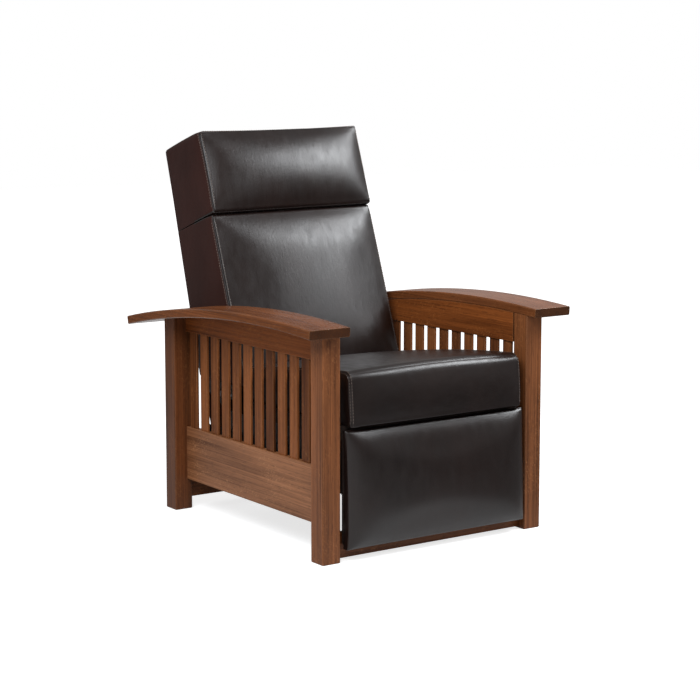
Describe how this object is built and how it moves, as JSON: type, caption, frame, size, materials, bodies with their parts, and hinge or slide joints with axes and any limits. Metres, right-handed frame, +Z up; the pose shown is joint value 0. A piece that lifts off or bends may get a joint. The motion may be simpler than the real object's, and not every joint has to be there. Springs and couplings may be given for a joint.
{
  "type": "reclining armchair",
  "caption": "Reclining armchair: bowed wooden arms over slatted sides, a hinged cushioned back, a seat on swing links and a leg rest that opens on scissor links.",
  "frame": {"origin": "on the floor, under the middle of the chair's outline at rest", "axes": "+Z up, -Y towards the front of the chair, +X towards the right as seen from the front"},
  "size_m": [0.882, 1.0104, 1.1154],
  "materials": {
    "oak": "medium brown stain, satin",
    "frame_wood": "bare",
    "leather": "semi-gloss",
    "webbing": "woven",
    "black_steel": "satin black",
    "zinc_steel": "zinc plated"
  },
  "bodies": {
    "frame": {"front_post_left": "oak", "front_post_right": "oak", "rear_post_left": "oak", "rear_post_right": "oak", "arm_left": "oak", "arm_right": "oak", "bottom_rail_left": "oak", "bottom_rail_right": "oak", "top_rail_left": "oak", "top_rail_right": "oak", "slats_left": "oak", "slats_right": "oak", "front_stretcher": "oak", "rear_stretcher": "oak", "base_plate_left": "black_steel", "base_plate_right": "black_steel", "base_plate_screws": "zinc_steel", "base_pivot_pins": "zinc_steel", "base_cross_tubes": "black_steel"},
    "front_swing": {"front_swing_links": "black_steel"},
    "rear_swing": {"rear_swing_links": "black_steel"},
    "seat": {"seat_plate_left": "black_steel", "seat_plate_right": "black_steel", "seat_plate_screws": "zinc_steel", "seat_side_rail_left": "frame_wood", "seat_side_rail_right": "frame_wood", "seat_front_rail": "frame_wood", "seat_rear_rail": "frame_wood", "seat_webbing": "webbing", "seat_cushion": "leather", "seat_pivot_pins": "zinc_steel", "back_pivot_studs": "zinc_steel"},
    "back": {"back_stile_left": "frame_wood", "back_stile_right": "frame_wood", "back_lower_rail": "frame_wood", "back_top_rail": "frame_wood", "back_webbing": "webbing", "back_panel": "leather", "back_bracket_left": "black_steel", "back_bracket_right": "black_steel", "back_bracket_screws": "zinc_steel", "body_cushion": "leather", "head_cushion": "leather"},
    "main_link": {"main_link_left": "black_steel", "main_link_right": "black_steel", "main_link_pins": "zinc_steel", "knee_tube": "black_steel"},
    "foot_link": {"foot_link_left": "black_steel", "foot_link_right": "black_steel", "foot_link_pins": "zinc_steel"},
    "control_link": {"control_links": "black_steel"},
    "tilt_link": {"tilt_links": "black_steel"},
    "leg_rest": {"leg_rest_bracket_left": "black_steel", "leg_rest_bracket_right": "black_steel", "leg_rest_board": "frame_wood", "leg_rest_pad": "leather", "leg_rest_screws": "zinc_steel", "leg_rest_pins": "zinc_steel"}
  },
  "joints": [
    {"name": "back_recline", "type": "hinge", "parent": "seat", "child": "back", "pos_m": [0, 0.14479, 0.366], "axis": [-1, 0, 0], "range_deg": [0, 32]},
    {"name": "front_swing_hinge", "type": "hinge", "parent": "frame", "child": "front_swing", "pos_m": [0, -0.23521, 0.19], "axis": [1, 0, 0], "range_deg": [0, 44]},
    {"name": "rear_swing_hinge", "type": "hinge", "parent": "frame", "child": "rear_swing", "pos_m": [0, 0.03479, 0.19], "axis": [1, 0, 0], "range_deg": [0, 44]},
    {"name": "seat_level_hinge", "type": "hinge", "parent": "front_swing", "child": "seat", "pos_m": [0, -0.19587, 0.28735], "axis": [-1, 0, 0], "range_deg": [0, 44]},
    {"name": "leg_rest_open", "type": "hinge", "parent": "seat", "child": "main_link", "pos_m": [0, -0.35321, 0.308], "axis": [-1, 0, 0], "range_deg": [0, 90]},
    {"name": "foot_link_hinge", "type": "hinge", "parent": "main_link", "child": "foot_link", "pos_m": [0, -0.29066, 0.17387], "axis": [1, 0, 0], "range_deg": [0, 90]},
    {"name": "control_link_hinge", "type": "hinge", "parent": "seat", "child": "control_link", "pos_m": [0, -0.31137, 0.28062], "axis": [-1, 0, 0], "range_deg": [0, 90]},
    {"name": "tilt_link_hinge", "type": "hinge", "parent": "main_link", "child": "tilt_link", "pos_m": [0, -0.26741, 0.12402], "axis": [1, 0, 0], "range_deg": [0, 90]},
    {"name": "leg_rest_turn", "type": "hinge", "parent": "foot_link", "child": "leg_rest", "pos_m": [0, -0.4191, 0.25792], "axis": [-1, 0, 0], "range_deg": [0, 90]}
  ],
  "couplings": [
    {"joint": "front_swing_hinge", "follows": "back_recline", "ratio": 1.375},
    {"joint": "rear_swing_hinge", "follows": "back_recline", "ratio": 1.375},
    {"joint": "seat_level_hinge", "follows": "back_recline", "ratio": 1.375},
    {"joint": "foot_link_hinge", "follows": "leg_rest_open", "ratio": 1},
    {"joint": "control_link_hinge", "follows": "leg_rest_open", "ratio": 1},
    {"joint": "tilt_link_hinge", "follows": "leg_rest_open", "ratio": 1},
    {"joint": "leg_rest_turn", "follows": "leg_rest_open", "ratio": 1}
  ]
}
